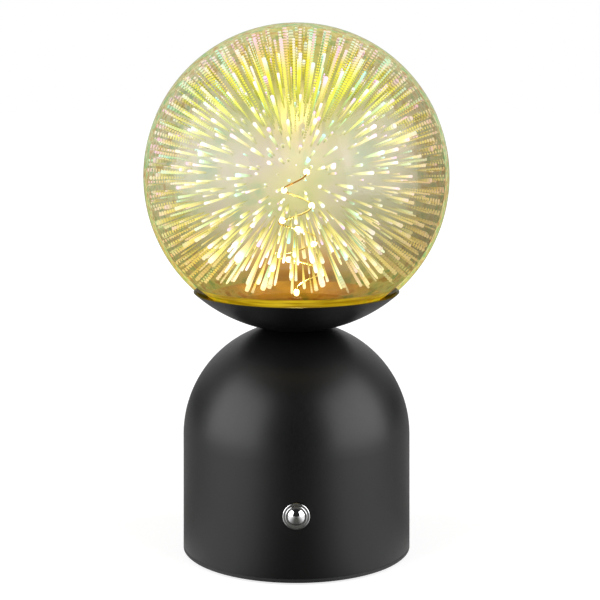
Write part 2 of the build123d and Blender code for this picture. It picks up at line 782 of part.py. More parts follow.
# Leads from the switch board up to the rear of the driver board's front plug
switch_lead_start = -button_seat + switch_board_back
lead_rise = connector_top + 2 * lead_bend
switch_leads = Part() + [
    lead(
        (side * lead_spacing / 2, switch_lead_start, button_height),
        (side * lead_spacing / 2, switch_lead_start + 2 * lead_bend, button_height),
        (side * lead_spacing / 2, -holder_radius - 2 * lead_bend, lead_rise),
        (side * lead_spacing / 2, -connector_reach, lead_rise),
        (side * lead_spacing / 2, -connector_reach, connector_top),
    )
    for side in (-1, 1)
]

# Leads from the driver board's rear plug up through the stem to the light wire
lamp_lead_place = lead_diameter / 2 + mould_gap
lamp_leads = Part() + [
    lead(
        (side * lamp_lead_place, connector_reach, connector_top),
        (side * lamp_lead_place, connector_reach, connector_top + lead_bend),
        (side * lamp_lead_place, 0, stem_low - 2 * lead_bend),
        (side * lamp_lead_place, 0, bowl_nut_high),
    )
    for side in (-1, 1)
]

pieces = {
    "base_shell": base_shell,
    "cover_lugs": cover_lugs,
    "bottom_cover": bottom_cover,
    "cover_screws": cover_screws,
    "foot_ring": foot_ring,
    "battery_door": battery_door,
    "battery_holder": battery_holder,
    "holder_screws": holder_screws,
    "battery_cells": battery_cells,
    "contact_board": contact_board,
    "contact_pads": contact_pads,
    "contact_plates": contact_plates,
    "contact_springs": contact_springs,
    "main_board": main_board,
    "main_board_screws": main_board_screws,
    "board_chips": board_chips,
    "lead_connectors": lead_connectors,
    "battery_leads": battery_leads,
    "neck_stem": neck_stem,
    "lock_washer": lock_washer,
    "stem_nut": stem_nut,
    "stem_bush": stem_bush,
    "bowl": bowl,
    "bowl_nut": bowl_nut,
    "wire_holder": wire_holder,
    "light_wire": light_wire,
    "light_beads": light_beads,
    "globe_seal": globe_seal,
    "globe": globe,
    "button_collar": button_collar,
    "button_sleeve": button_sleeve,
    "button_cap": button_cap,
    "button_clip": button_clip,
    "button_spring": button_spring,
    "saddle_washer": saddle_washer,
    "sleeve_nut": sleeve_nut,
    "switch_bracket": switch_bracket,
    "switch_body": switch_body,
    "switch_plunger": switch_plunger,
    "switch_board": switch_board,
    "switch_screws": switch_screws,
    "switch_leads": switch_leads,
    "lamp_leads": lamp_leads,
}
for name, piece in pieces.items():
    export_step(piece, f"parts/{name}.step")
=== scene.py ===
import math

import bpy
import numpy as np
from mathutils import Euler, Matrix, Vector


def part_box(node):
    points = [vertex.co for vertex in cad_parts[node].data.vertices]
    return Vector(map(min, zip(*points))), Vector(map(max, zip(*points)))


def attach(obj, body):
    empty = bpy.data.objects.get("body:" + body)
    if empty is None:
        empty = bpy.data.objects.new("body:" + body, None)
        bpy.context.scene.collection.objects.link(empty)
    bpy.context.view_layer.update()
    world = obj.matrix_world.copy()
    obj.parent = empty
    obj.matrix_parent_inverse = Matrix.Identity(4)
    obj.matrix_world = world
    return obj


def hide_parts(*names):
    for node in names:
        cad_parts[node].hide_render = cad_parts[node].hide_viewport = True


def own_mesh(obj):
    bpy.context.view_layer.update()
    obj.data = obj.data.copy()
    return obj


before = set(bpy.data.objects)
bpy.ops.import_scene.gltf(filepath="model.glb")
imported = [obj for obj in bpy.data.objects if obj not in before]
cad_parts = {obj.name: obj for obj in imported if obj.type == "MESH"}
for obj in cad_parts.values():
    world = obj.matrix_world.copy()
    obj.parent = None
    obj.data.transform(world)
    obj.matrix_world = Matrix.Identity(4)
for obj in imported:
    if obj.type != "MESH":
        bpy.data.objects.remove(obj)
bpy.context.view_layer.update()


# Bottom cover, battery door and foot ring.
# Cover and door are moulded in black plastic with a fine spark-eroded texture, and the door turns behind
# the cover on three tabs. The foot is a ring of soft rubber, glued into a groove under the cover.

def place(tree, kind, inputs=None, **settings):
    """Adds a shader node. inputs gives its sockets, by name or number, another node's output, a value, or the
    red, green and blue of a colour."""
    made = tree.nodes.new("ShaderNode" + kind)
    for name, value in settings.items():
        setattr(made, name, value)
    for key, value in (inputs or {}).items():
        socket = made.inputs[key]
        if isinstance(value, bpy.types.NodeSocket):
            tree.links.new(value, socket)
        elif socket.type == "RGBA":
            socket.default_value = (*value, 1)
        else:
            socket.default_value = value
    return made


def between(tree, share, low, high):
    """Colour that goes from low to high as share goes from 0 to 1."""
    return place(tree, "Mix", {0: share, 6: low, 7: high}, data_type="RGBA").outputs[2]


def spread(tree, value, low, high, to_low=0.0, to_high=1.0):
    """Value carried from the range low..high to the range to_low..to_high, held at its ends."""
    sockets = {"Value": value, "From Min": low, "From Max": high, "To Min": to_low, "To Max": to_high}
    return place(tree, "MapRange", sockets).outputs[0]


def raised(tree, height, relief):
    """Normal of a surface whose height, from 0 to 1, stands up by relief metres."""
    return place(tree, "Bump", {"Height": height, "Distance": relief, "Strength": 1.0}).outputs[0]


def empty_material(name):
    """Material with nothing but its output; gives the material, its node tree and the output."""
    made = bpy.data.materials.new(name)
    made.use_nodes = True
    made.node_tree.nodes.clear()
    return made, made.node_tree, place(made.node_tree, "OutputMaterial")


def coat(tree, output, inputs):
    """Makes one shader with these inputs the whole surface of a material."""
    surface = place(tree, "BsdfPrincipled", inputs)
    tree.links.new(surface.outputs[0], output.inputs["Surface"])


def grain_group():
    """Group for every solid substance: a fine grain, broad patches and sparse specks, each from 0 to 1,
    from noise at the given number of bumps and patches to the metre."""
    group = bpy.data.node_groups.new("surface_grain", "ShaderNodeTree")
    for name in ("Grain", "Patch"):
        group.interface.new_socket(name, in_out="INPUT", socket_type="NodeSocketFloat")
    for name in ("Fine", "Broad", "Specks"):
        group.interface.new_socket(name, in_out="OUTPUT", socket_type="NodeSocketFloat")
    given = group.nodes.new("NodeGroupInput")
    result = group.nodes.new("NodeGroupOutput")
    here = place(group, "TexCoord").outputs["Object"]
    fine = place(group, "TexNoise", {"Vector": here, "Scale": given.outputs["Grain"], "Detail": 3.0})
    broad = place(group, "TexNoise", {"Vector": here, "Scale": given.outputs["Patch"], "Detail": 2.0})
    dots = place(group, "TexVoronoi", {"Vector": here, "Scale": given.outputs["Grain"]})
    group.links.new(spread(group, fine.outputs[0], 0.3, 0.7), result.inputs["Fine"])
    group.links.new(spread(group, broad.outputs[0], 0.35, 0.65), result.inputs["Broad"])
    group.links.new(spread(group, dots.outputs[0], 0.05, 0.2, 1.0, 0.0), result.inputs["Specks"])
    return group


surface_grain = grain_group()


def skin_of(tree, grain, patch):
    """Outputs of the grain group at so many bumps and patches to the metre."""
    return place(tree, "Group", {"Grain": grain, "Patch": patch}, node_tree=surface_grain).outputs


def solid_finish(name, colour, shade, gloss, grain, patch, relief, **sockets):
    """Finish of one solid substance: its colour drifts from colour to shade in broad patches, its roughness
    runs over the two ends of gloss with the grain, and the grain stands up by relief metres."""
    made, tree, output = empty_material(name)
    skin = skin_of(tree, grain, patch)
    coat(tree, output, {
        "Base Color": between(tree, skin["Broad"], colour, shade),
        "Roughness": spread(tree, skin["Fine"], 0.0, 1.0, *gloss),
        "Normal": raised(tree, skin["Fine"], relief),
        **{key.replace("_", " "): value for key, value in sockets.items()},
    })
    return made


def dress(material, *names):
    """Gives CAD nodes their finish."""
    for name in names:
        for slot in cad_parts[name].material_slots:
            slot.material = material


cover_plastic = solid_finish(
    "cover_plastic", colour=(0.012, 0.012, 0.013), shade=(0.017, 0.017, 0.018), gloss=(0.5, 0.7),
    grain=5000, patch=60, relief=6e-6)
foot_rubber = solid_finish(
    "foot_rubber", colour=(0.022, 0.022, 0.022), shade=(0.032, 0.031, 0.03), gloss=(0.75, 0.95),
    grain=2600, patch=120, relief=1e-5)
dress(cover_plastic, "bottom_cover", "battery_door")
dress(foot_rubber, "foot_ring")


# Screws, lugs and the sheet-metal parts inside.
# Zinc-plated steel: pressed or turned, then barrel-plated, with a cloudy bluish bloom and fine scratches.

zinc_steel = solid_finish(
    "zinc_steel", colour=(0.56, 0.57, 0.58), shade=(0.47, 0.47, 0.45), gloss=(0.22, 0.42),
    grain=3500, patch=300, relief=1.5e-6, Metallic=1.0)
dress(zinc_steel, "cover_lugs", "cover_screws", "holder_screws", "main_board_screws", "switch_screws",
      "switch_bracket", "stem_nut", "lock_washer", "button_clip")


# Battery holder with its cells and contacts.
# A moulded holder, three cells with a printed sleeve shrunk over a steel can, a contact board with plated
# pads below them, and plates with wound springs above.

holder_plastic = solid_finish(
    "holder_plastic", colour=(0.03, 0.031, 0.033), shade=(0.04, 0.04, 0.042), gloss=(0.45, 0.62),
    grain=3200, patch=80, relief=5e-6)
contact_metal = solid_finish(
    "contact_metal", colour=(0.78, 0.72, 0.55), shade=(0.7, 0.62, 0.42), gloss=(0.18, 0.34),
    grain=4000, patch=500, relief=1e-6, Metallic=1.0)
dress(holder_plastic, "battery_holder")
dress(contact_metal, "contact_pads", "contact_plates")


def maths(tree, kind, first, second=0.0):
    """One step of arithmetic on two values."""
    return place(tree, "Math", {0: first, 1: second}, operation=kind).outputs[0]


def times(tree, first, *others):
    """Product of two or more values."""
    for other in others:
        first = maths(tree, "MULTIPLY", first, other)
    return first


def object_axes(tree):
    """X, Y and Z of the point on the surface, in metres."""
    return place(tree, "SeparateXYZ", {0: place(tree, "TexCoord").outputs["Object"]}).outputs


def cell_finish():
    """Cell: bare steel where a face looks up or down, and on the side a two-tone sleeve split by height."""
    sleeve_split = 0.044
    lower_sleeve, upper_sleeve = (0.035, 0.075, 0.13), (0.42, 0.43, 0.44)
    faded, steel = (0.2, 0.22, 0.25), (0.6, 0.6, 0.58)
    made, tree, output = empty_material("cell_wrap")
    skin = skin_of(tree, grain=2500, patch=90)
    facing = place(tree, "SeparateXYZ", {0: place(tree, "TexCoord").outputs["Normal"]}).outputs["Z"]
    bare = maths(tree, "GREATER_THAN", maths(tree, "ABSOLUTE", facing), 0.5)
    band = maths(tree, "GREATER_THAN", object_axes(tree)["Z"], sleeve_split)
    sleeve = between(tree, band, lower_sleeve, upper_sleeve)
    sleeve = between(tree, times(tree, skin["Broad"], 0.2), sleeve, faded)
    coat(tree, output, {
        "Base Color": between(tree, bare, sleeve, steel),
        "Metallic": bare,
        "Roughness": spread(tree, skin["Fine"], 0.0, 1.0, 0.22, 0.36),
    })
    return made


dress(cell_finish(), "battery_cells")


def add_object(name, data):
    """New object at the origin of the scene."""
    made = bpy.data.objects.new(name, data)
    bpy.context.scene.collection.objects.link(made)
    return made


def add_piece(name, points, faces, material, smooth=True):
    """New object at the origin from an array of points in metres and a list of faces."""
    mesh = bpy.data.meshes.new(name)
    mesh.from_pydata(points.reshape(-1, 3), [], faces)
    mesh.polygons.foreach_set("use_smooth", np.full(len(mesh.polygons), smooth))
    mesh.materials.append(material)
    mesh.update()
    return add_object(name, mesh)


def grid_faces(rows, columns, first=0):
    """Quads of a grid of points that closes on itself across its columns."""
    row, column = np.meshgrid(np.arange(rows - 1), np.arange(columns), indexing="ij")
    corner = first + row * columns + column
    beside = first + row * columns + (column + 1) % columns
    return np.stack([corner, beside, beside + columns, corner + columns], axis=-1).reshape(-1, 4)


def wire_along(path, radius, sides, outward, first=0):
    """Round wire along a path: at each point a ring of the given radius in the plane across the path, laid
    out from the outward direction there. Gives its points and its faces, with a flat cap on each end. The
    faces count the points from first."""
    along = np.gradient(path, axis=0)
    along /= np.linalg.norm(along, axis=1, keepdims=True)
    across = outward - np.sum(outward * along, axis=1, keepdims=True) * along
    across /= np.linalg.norm(across, axis=1, keepdims=True)
    third = np.cross(along, across)
    turn = np.linspace(0, 2 * np.pi, sides, endpoint=False)[None, :, None]
    points = path[:, None, :] + radius * (np.cos(turn) * across[:, None] + np.sin(turn) * third[:, None])
    faces = grid_faces(len(path), sides, first).tolist()
    last = first + (len(path) - 1) * sides
    caps = [list(range(first, first + sides))[::-1], list(range(last, last + sides))]
    return points.reshape(-1, 3), faces + caps


def coil(radius, low, high, turns, steps_per_turn=40):
    """Centre line of a coil spring about Z, and its outward directions: a circle carried up evenly."""
    share = np.linspace(0, 1, round(turns * steps_per_turn) + 1)
    angle = 2 * np.pi * turns * share
    outward = np.stack([np.cos(angle), np.sin(angle), np.zeros_like(angle)], axis=1)
    path = outward * radius
    path[:, 2] = low + (high - low) * share
    return path, outward


spring_steel = solid_finish(
    "spring_steel", colour=(0.5, 0.49, 0.47), shade=(0.4, 0.38, 0.35), gloss=(0.2, 0.38),
    grain=6000, patch=400, relief=1e-6, Metallic=1.0)

contact_low, contact_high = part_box("contact_springs")
contact_wire = 0.0003
contact_coil_radius = 0.0022
contact_turns = 2.5
contact_wire_sides = 12
cell_circle = 0.008891
cell_angles = np.radians((90, 210, 330))
contact_coil, contact_out = coil(
    contact_coil_radius, contact_low.z + contact_wire, contact_high.z - contact_wire, contact_turns)
spring_points, spring_faces = [], []
for number, angle in enumerate(cell_angles):
    centre = np.array([np.cos(angle), np.sin(angle), 0.0]) * cell_circle
    first = number * len(contact_coil) * contact_wire_sides
    points, faces = wire_along(contact_coil + centre, contact_wire, contact_wire_sides, contact_out, first)
    spring_points.append(points)
    spring_faces += faces
contact_springs = add_piece(
    "contact_springs_wound", np.concatenate(spring_points), spring_faces, spring_steel)
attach(contact_springs, "lamp")
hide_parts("contact_springs")


# Circuit boards, their chips and plugs, and the leads.
# Glass-fibre laminate under green solder mask with tracks below it, black epoxy chips, cream moulded plugs,
# and stranded leads in red and black sleeves.

def board_finish():
    """Solder mask: paler tracks in a brick of fine lines, darker between them, and drilled specks."""
    ground, tracks = (0.012, 0.085, 0.035), (0.03, 0.17, 0.07)
    dark_patch, plated_hole = (0.01, 0.06, 0.03), (0.5, 0.42, 0.25)
    made, tree, output = empty_material("board_laminate")
    here = place(tree, "TexCoord").outputs["Object"]
    skin = skin_of(tree, grain=1500, patch=150)
    track = place(tree, "TexBrick", {"Vector": here, "Scale": 240.0, "Mortar Size": 0.03}).outputs["Fac"]
    mask = between(tree, track, ground, tracks)
    mask = between(tree, times(tree, skin["Broad"], 0.4), mask, dark_patch)
    coat(tree, output, {
        "Base Color": between(tree, skin["Specks"], mask, plated_hole),
        "Roughness": spread(tree, skin["Fine"], 0.0, 1.0, 0.25, 0.4),
    })
    return made


def lead_finish():
    """Lead sleeve: red on the right of the lamp and black on its left, with the slight lay of the strands."""
    black, red, dust = (0.018, 0.018, 0.019), (0.42, 0.02, 0.018), (0.2, 0.2, 0.2)
    made, tree, output = empty_material("lead_sleeve")
    skin = skin_of(tree, grain=900, patch=200)
    right = maths(tree, "GREATER_THAN", object_axes(tree)["X"], 0.0)
    coat(tree, output, {
        "Base Color": between(tree, times(tree, skin["Broad"], 0.15), between(tree, right, black, red), dust),
        "Roughness": spread(tree, skin["Fine"], 0.0, 1.0, 0.4, 0.55),
        "Normal": raised(tree, skin["Fine"], relief=3e-5),
    })
    return made


chip_plastic = solid_finish(
    "chip_plastic", colour=(0.014, 0.014, 0.015), shade=(0.022, 0.022, 0.022), gloss=(0.5, 0.75),
    grain=4500, patch=400, relief=4e-6)
plug_plastic = solid_finish(
    "plug_plastic", colour=(0.72, 0.67, 0.55), shade=(0.66, 0.6, 0.48), gloss=(0.35, 0.5),
    grain=3000, patch=120, relief=3e-6)
plunger_plastic = solid_finish(
    "plunger_plastic", colour=(0.78, 0.77, 0.73), shade=(0.72, 0.71, 0.66), gloss=(0.35, 0.48),
    grain=3500, patch=200, relief=2e-6)
dress(board_finish(), "contact_board", "main_board", "switch_board")
dress(lead_finish(), "battery_leads", "switch_leads", "lamp_leads")
dress(chip_plastic, "board_chips", "switch_body")
dress(plunger_plastic, "switch_plunger")
dress(plug_plastic, "lead_connectors")


# Base shell and bowl.
# Drawn steel, sprayed in satin black: a fine orange-peel relief and faint patches of gloss.

shell_paint = solid_finish(
    "shell_paint", colour=(0.0026, 0.0026, 0.0028), shade=(0.0036, 0.0036, 0.0039), gloss=(0.34, 0.42),
    grain=1400, patch=45, relief=2.5e-6, Specular_IOR_Level=0.45)
dress(shell_paint, "base_shell", "bowl")


# Push button.
# A turned and chromed cap in a chromed sleeve, set in a chromed collar on the flat of the shell. Behind it a
# saddle washer takes up the curve of the shell, and a wound spring returns the cap.

button_chrome = solid_finish(
    "button_chrome", colour=(0.83, 0.83, 0.84), shade=(0.78, 0.78, 0.8), gloss=(0.03, 0.07),
    grain=2500, patch=400, relief=2e-7, Metallic=1.0)
saddle_plastic = solid_finish(
    "saddle_plastic", colour=(0.025, 0.025, 0.026), shade=(0.034, 0.034, 0.035), gloss=(0.5, 0.65),
    grain=3500, patch=150, relief=5e-6)
dress(button_chrome, "button_cap", "button_sleeve", "button_collar")
dress(saddle_plastic, "saddle_washer")

# The coil is wound about Z, laid along Y by a quarter turn, and lifted to the button's axis.
spring_low, spring_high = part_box("button_spring")
return_wire = 0.00025
return_coil_radius = 0.0021
return_turns = 4.0
return_coil, return_out = coil(
    return_coil_radius, spring_low.y + return_wire, spring_high.y - return_wire, return_turns)
to_button = np.array([[1.0, 0.0, 0.0], [0.0, 0.0, -1.0], [0.0, 1.0, 0.0]])
button_axis = np.array([0.0, 0.0, (spring_low.z + spring_high.z) / 2])
return_points, return_faces = wire_along(
    return_coil @ to_button + button_axis, return_wire, sides=12, outward=return_out @ to_button)
button_spring = add_piece("button_spring_wound", return_points, return_faces, spring_steel)
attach(button_spring, "lamp")
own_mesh(button_spring)
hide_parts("button_spring")


# Stem and nuts that clamp the bowl to the base.
# A hollow threaded steel stem with a rubber bush for the leads, a steel nut below and a brass nut above.

stem_brass = solid_finish(
    "stem_brass", colour=(0.68, 0.5, 0.22), shade=(0.58, 0.4, 0.16), gloss=(0.25, 0.4),
    grain=3000, patch=250, relief=2e-6, Metallic=1.0)
bush_rubber = solid_finish(
    "bush_rubber", colour=(0.03, 0.03, 0.03), shade=(0.042, 0.04, 0.04), gloss=(0.7, 0.9),
    grain=2800, patch=150, relief=8e-6)
dress(zinc_steel, "neck_stem")
dress(stem_brass, "bowl_nut", "sleeve_nut")
dress(bush_rubber, "stem_bush")


# Wire holder, light wire and beads.
# A black moulded cap is pressed over the nut in the bowl. Out of its nipple comes a stiff lacquered copper
# wire, curled by hand, with a tiny light under a drop of clear resin about every 17 mm.

holder_black = solid_finish(
    "holder_black", colour=(0.014, 0.014, 0.015), shade=(0.02, 0.02, 0.021), gloss=(0.38, 0.52),
    grain=2600, patch=100, relief=3e-6)
dress(holder_black, "wire_holder")

wire_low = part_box("light_wire")[0].z
wire_radius = 0.00035
riser_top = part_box("wire_holder")[1].z + 0.002
curl_low = riser_top + 0.008
curl_high = curl_low + 0.040
curl_start, curl_end = 0.010, 0.004
curl_turns = 3
bend_pull = 1.3
riser_steps, bend_steps, steps_per_turn = 8, 24, 72


def light_wire_path():
    """Centre line of the light wire and its outward directions: a straight riser on the axis, a cubic bend
    whose ends follow the riser and the curl, and a curl whose radius and height change evenly with its turn.
    Gives the number of the bend's first point too."""
    rise = np.linspace(0, 1, riser_steps, endpoint=False)[:, None]
    riser = np.array([0, 0, wire_low]) + rise * np.array([0, 0, riser_top - wire_low])
    share = np.linspace(0, 1, curl_turns * steps_per_turn + 1)
    angle = 2 * np.pi * curl_turns * share
    radius = curl_start + (curl_end - curl_start) * share
    height = curl_low + (curl_high - curl_low) * share
    curl = np.stack([radius * np.cos(angle), radius * np.sin(angle), height], axis=1)
    start, end = np.array([0, 0, riser_top]), curl[0]
    leave = np.array([0, 0, 1.0])
    arrive = (curl[1] - curl[0]) / np.linalg.norm(curl[1] - curl[0])
    pull = bend_pull * np.linalg.norm(end - start)
    t = np.linspace(0, 1, bend_steps, endpoint=False)[:, None]
    bend = ((2 * t**3 - 3 * t**2 + 1) * start + (t**3 - 2 * t**2 + t) * pull * leave
            + (3 * t**2 - 2 * t**3) * end + (t**3 - t**2) * pull * arrive)
    path = np.concatenate([riser, bend, curl])
    still = np.tile([1.0, 0.0, 0.0], (len(riser) + len(bend), 1))
    turned = np.stack([np.cos(angle), np.sin(angle), np.zeros_like(angle)], axis=1)
    return path, np.concatenate([still, turned]), len(riser)


def lacquered_copper():
    """Copper wire under lacquer: bright gold along the curl, and dark amber near its end, which is painted
    amber light from the beads."""
    gold, dull_gold, amber_light = (0.92, 0.76, 0.4), (0.84, 0.64, 0.28), (0.46, 0.24, 0.02)
    made, tree, output = empty_material("light_copper")
    skin = skin_of(tree, grain=4000, patch=350)
    # Painted light: the wire turns dark amber near its end.
    near_end = spread(tree, object_axes(tree)["Z"], curl_high - 0.009, curl_high - 0.005)
    coat(tree, output, {
        "Base Color": between(tree, near_end, between(tree, skin["Broad"], gold, dull_gold), amber_light),
        "Metallic": 1.0,
        "Roughness": spread(tree, skin["Fine"], 0.0, 1.0, 0.22, 0.4),
    })
    return made


wire_path, wire_out, bend_start = light_wire_path()
wire_points, wire_faces = wire_along(wire_path, wire_radius, sides=10, outward=wire_out)
light_wire = add_piece("light_wire_curled", wire_points, wire_faces, lacquered_copper())
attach(light_wire, "lamp")
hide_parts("light_wire")


def resin_finish():
    """Drop of clear resin lit from inside: a hot yellow that turns amber in patches."""
    hot, amber_light = (1.0, 0.82, 0.42), (1.0, 0.66, 0.2)
    made, tree, output = empty_material("bead_resin")
    skin = skin_of(tree, grain=1800, patch=900)
    coat(tree, output, {
        "Base Color": (0.9, 0.75, 0.45),
        "Roughness": spread(tree, skin["Fine"], 0.0, 1.0, 0.08, 0.2),
        "Emission Color": between(tree, skin["Broad"], hot, amber_light),
        "Emission Strength": 9.0,
    })
    return made


def resin_drops(path, first, count, radius, rows=10, columns=12):
    """Drops along the wire at even lengths from the path's point first to its end. Each is a ball drawn out
    by a fifth along the wire: rings whose radius is the sine, and place along the wire the cosine, of an
    angle that runs over half a turn, closed by a small flat at each end."""
    drawn_out, flat_end, small_step = 1.2, 0.12, 1e-4
    off_the_wire = [0.31, 0.95, 0.05]
    line = path[first:]
    steps = np.linalg.norm(np.diff(line, axis=0), axis=1)
    length = np.concatenate([[0], np.cumsum(steps)])
    marks = np.linspace(0, length[-1], count)
    centre, ahead, behind = (
        np.stack([np.interp(marks + move, length, line[:, axis]) for axis in range(3)], axis=1)
        for move in (0.0, small_step, -small_step))
    along = (ahead - behind) / np.linalg.norm(ahead - behind, axis=1, keepdims=True)
    side = np.cross(along, off_the_wire)
    side /= np.linalg.norm(side, axis=1, keepdims=True)
    third = np.cross(along, side)
    polar = np.linspace(flat_end, np.pi - flat_end, rows)[None, :, None, None]
    turn = np.linspace(0, 2 * np.pi, columns, endpoint=False)[None, None, :, None]
    ring = np.cos(turn) * side[:, None, None] + np.sin(turn) * third[:, None, None]
    points = centre[:, None, None] + radius * (
        np.sin(polar) * ring - drawn_out * np.cos(polar) * along[:, None, None])
    faces = []
    for drop in range(count):
        start = drop * rows * columns
        faces += grid_faces(rows, columns, start).tolist()
        faces.append(list(range(start, start + columns))[::-1])
        faces.append(list(range(start + (rows - 1) * columns, start + rows * columns)))
    return points.reshape(-1, 3), faces


bead_points, bead_faces = resin_drops(wire_path, bend_start, count=10, radius=0.0012)
light_beads = add_piece("light_beads_resin", bead_points, bead_faces, resin_finish())
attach(light_beads, "lamp")
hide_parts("light_beads")


# Seal under the globe's edge.
# A ring of amber silicone, moulded with a groove for the edge of the glass and laid in the bowl. Its glow is
# painted amber light from the lowest bead.

seal_silicone = solid_finish(
    "seal_silicone", colour=(0.26, 0.13, 0.014), shade=(0.14, 0.066, 0.008), gloss=(0.4, 0.55),
    grain=1500, patch=150, relief=4e-6, Emission_Color=(0.36, 0.16, 0.01), Emission_Strength=0.4)
dress(seal_silicone, "globe_seal")


# Globe.
# Blown glass, 1.6 mm thick, with a half-mirror film on its inside that ends a little above the bowl's rim.
# Inside the film the light from the beads is thrown to and fro: a painted glow on the film stands for it,
# and the bare edge of the glass shows a painted amber glow.

globe_low, globe_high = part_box("globe")
globe_radius = (globe_high.x - globe_low.x) / 2
globe_centre = np.array([0.0, 0.0, globe_high.z - globe_radius])
glass_thickness = 0.0016
film_radius = globe_radius - glass_thickness
film_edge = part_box("bowl")[1].z + 0.0025
mouth_radius, nominal_radius = 0.033, 0.060
mouth_angle = -math.acos(mouth_radius / nominal_radius)
mouth_corner = math.radians(40)


def glass_shell(rows=96, columns=192):
    """Closed shell of the globe: circles of latitude from the top pole down the outer sphere to the mouth,
    then up the inner sphere to its own pole. Gives its points, faces and how many faces are outside."""
    latitude = np.linspace(np.pi / 2, mouth_angle, rows)[1:]
    outer = np.stack([globe_radius * np.cos(latitude), globe_radius * np.sin(latitude)], axis=1)
    inner = np.stack([film_radius * np.cos(latitude), film_radius * np.sin(latitude)], axis=1)[::-1]
    profile = np.concatenate([outer, inner])
    turn = np.linspace(0, 2 * np.pi, columns, endpoint=False)
    ring = np.stack([np.outer(profile[:, 0], np.cos(turn)), np.outer(profile[:, 0], np.sin(turn)),
                     np.repeat(profile[:, 1:], columns, axis=1)], axis=-1)
    poles = np.array([[0, 0, globe_radius], [0, 0, film_radius]])
    points = np.concatenate([ring.reshape(-1, 3), poles]) + globe_centre
    step = np.arange(columns)
    following = (step + 1) % columns
    top = len(profile) * columns
    last = (len(profile) - 1) * columns
    cap = np.stack([np.full(columns, top), following, step], axis=1)
    roof = np.stack([np.full(columns, top + 1), last + step, last + following], axis=1)
    sides = grid_faces(len(profile), columns)[:, ::-1]
    return points, cap.tolist() + sides.tolist() + roof.tolist(), columns + (rows - 1) * columns


def ramp(tree, value, *stops):
    """Colour that runs through the stops, each a place from 0 to 1 and a colour."""
    made = place(tree, "ValToRGB", {0: value})
    marks = made.color_ramp.elements
    for stop, tone in stops[2:]:
        marks.new(stop)
    for mark, (stop, tone) in zip(marks, stops):
        mark.position = stop
        mark.color = (*tone, 1)
    return made.outputs[0]


def noise(tree, vector, scale, detail, roughness=0.5):
    """Noise of so many lumps to the metre, about 0.5."""
    sockets = {"Vector": vector, "Scale": scale, "Detail": detail, "Roughness": roughness}
    return place(tree, "TexNoise", sockets).outputs[0]


def tinted(tree, share, colour, tint_colour):
    """Colour multiplied by tint_colour, which takes more away the larger share is."""
    sockets = {0: share, 6: colour, 7: tint_colour}
    return place(tree, "Mix", sockets, data_type="RGBA", blend_type="MULTIPLY").outputs[2]


def slant(tree):
    """0 where a surface is seen straight on, up to 1 where the view runs along it."""
    return place(tree, "LayerWeight", {"Blend": 0.5}).outputs["Facing"]


def clear_glass():
    """Clear glass, seen through. Along the wall it is darker: yellow low down, grey-green above, with small
    green, golden and brown patches. Its mirror share grows to the edge of the view as glass does."""
    mirror_share, glass_index = 0.4, 1.45
    clear, cloudy = (0.95, 0.96, 0.95), (0.9, 0.92, 0.9)
    green, rim_grey = (0.74, 0.8, 0.62), (0.58, 0.59, 0.5)
    made, tree, output = empty_material("globe_glass")
    skin = skin_of(tree, grain=60, patch=20)
    shine = place(tree, "BsdfPrincipled", {
        "Base Color": between(tree, skin["Broad"], clear, cloudy),
        "Metallic": 1.0,
        "Roughness": 0.04,
        "Normal": raised(tree, skin["Fine"], relief=2e-5),
    })
    here = place(tree, "TexCoord").outputs["Object"]
    facing = slant(tree)
    level = spread(tree, object_axes(tree)["Z"], globe_low.z, globe_high.z)
    wall = ramp(tree, level, (0.08, (0.86, 0.74, 0.22)), (0.3, (0.84, 0.76, 0.44)),
                (0.55, (0.78, 0.78, 0.62)), (0.9, (0.82, 0.82, 0.56)))
    wall = between(tree, times(tree, skin["Broad"], 0.5), wall, green)
    body = ramp(tree, facing, (0.25, (0.99, 0.99, 0.985)), (0.5, (0.82, 0.79, 0.68)),
                (0.8, (0.8, 0.79, 0.66)))
    body = between(tree, spread(tree, facing, 0.7, 0.84), body, wall)
    body = between(tree, spread(tree, facing, 0.88, 1.0, 0.0, 0.8), body, rim_grey)
    tint_colour = ramp(tree, noise(tree, here, 330.0, 1.0), (0.36, (0.6, 0.86, 0.7)), (0.46, (1.0, 0.98, 0.76)),
                 (0.54, (1.0, 1.0, 1.0)), (0.64, (0.86, 0.64, 0.42)))
    body = tinted(tree, spread(tree, facing, 0.55, 0.78, 0.0, 0.9), body, tint_colour)
    through = place(tree, "BsdfTransparent", {"Color": body})
    front = maths(tree, "SUBTRACT", 1.0, place(tree, "NewGeometry").outputs["Backfacing"])
    share = times(tree, place(tree, "Fresnel", {"IOR": glass_index}).outputs[0], front, mirror_share)
    mixed = place(tree, "MixShader", {0: share, 1: through.outputs[0], 2: shine.outputs[0]})
    tree.links.new(mixed.outputs[0], output.inputs["Surface"])
    return made


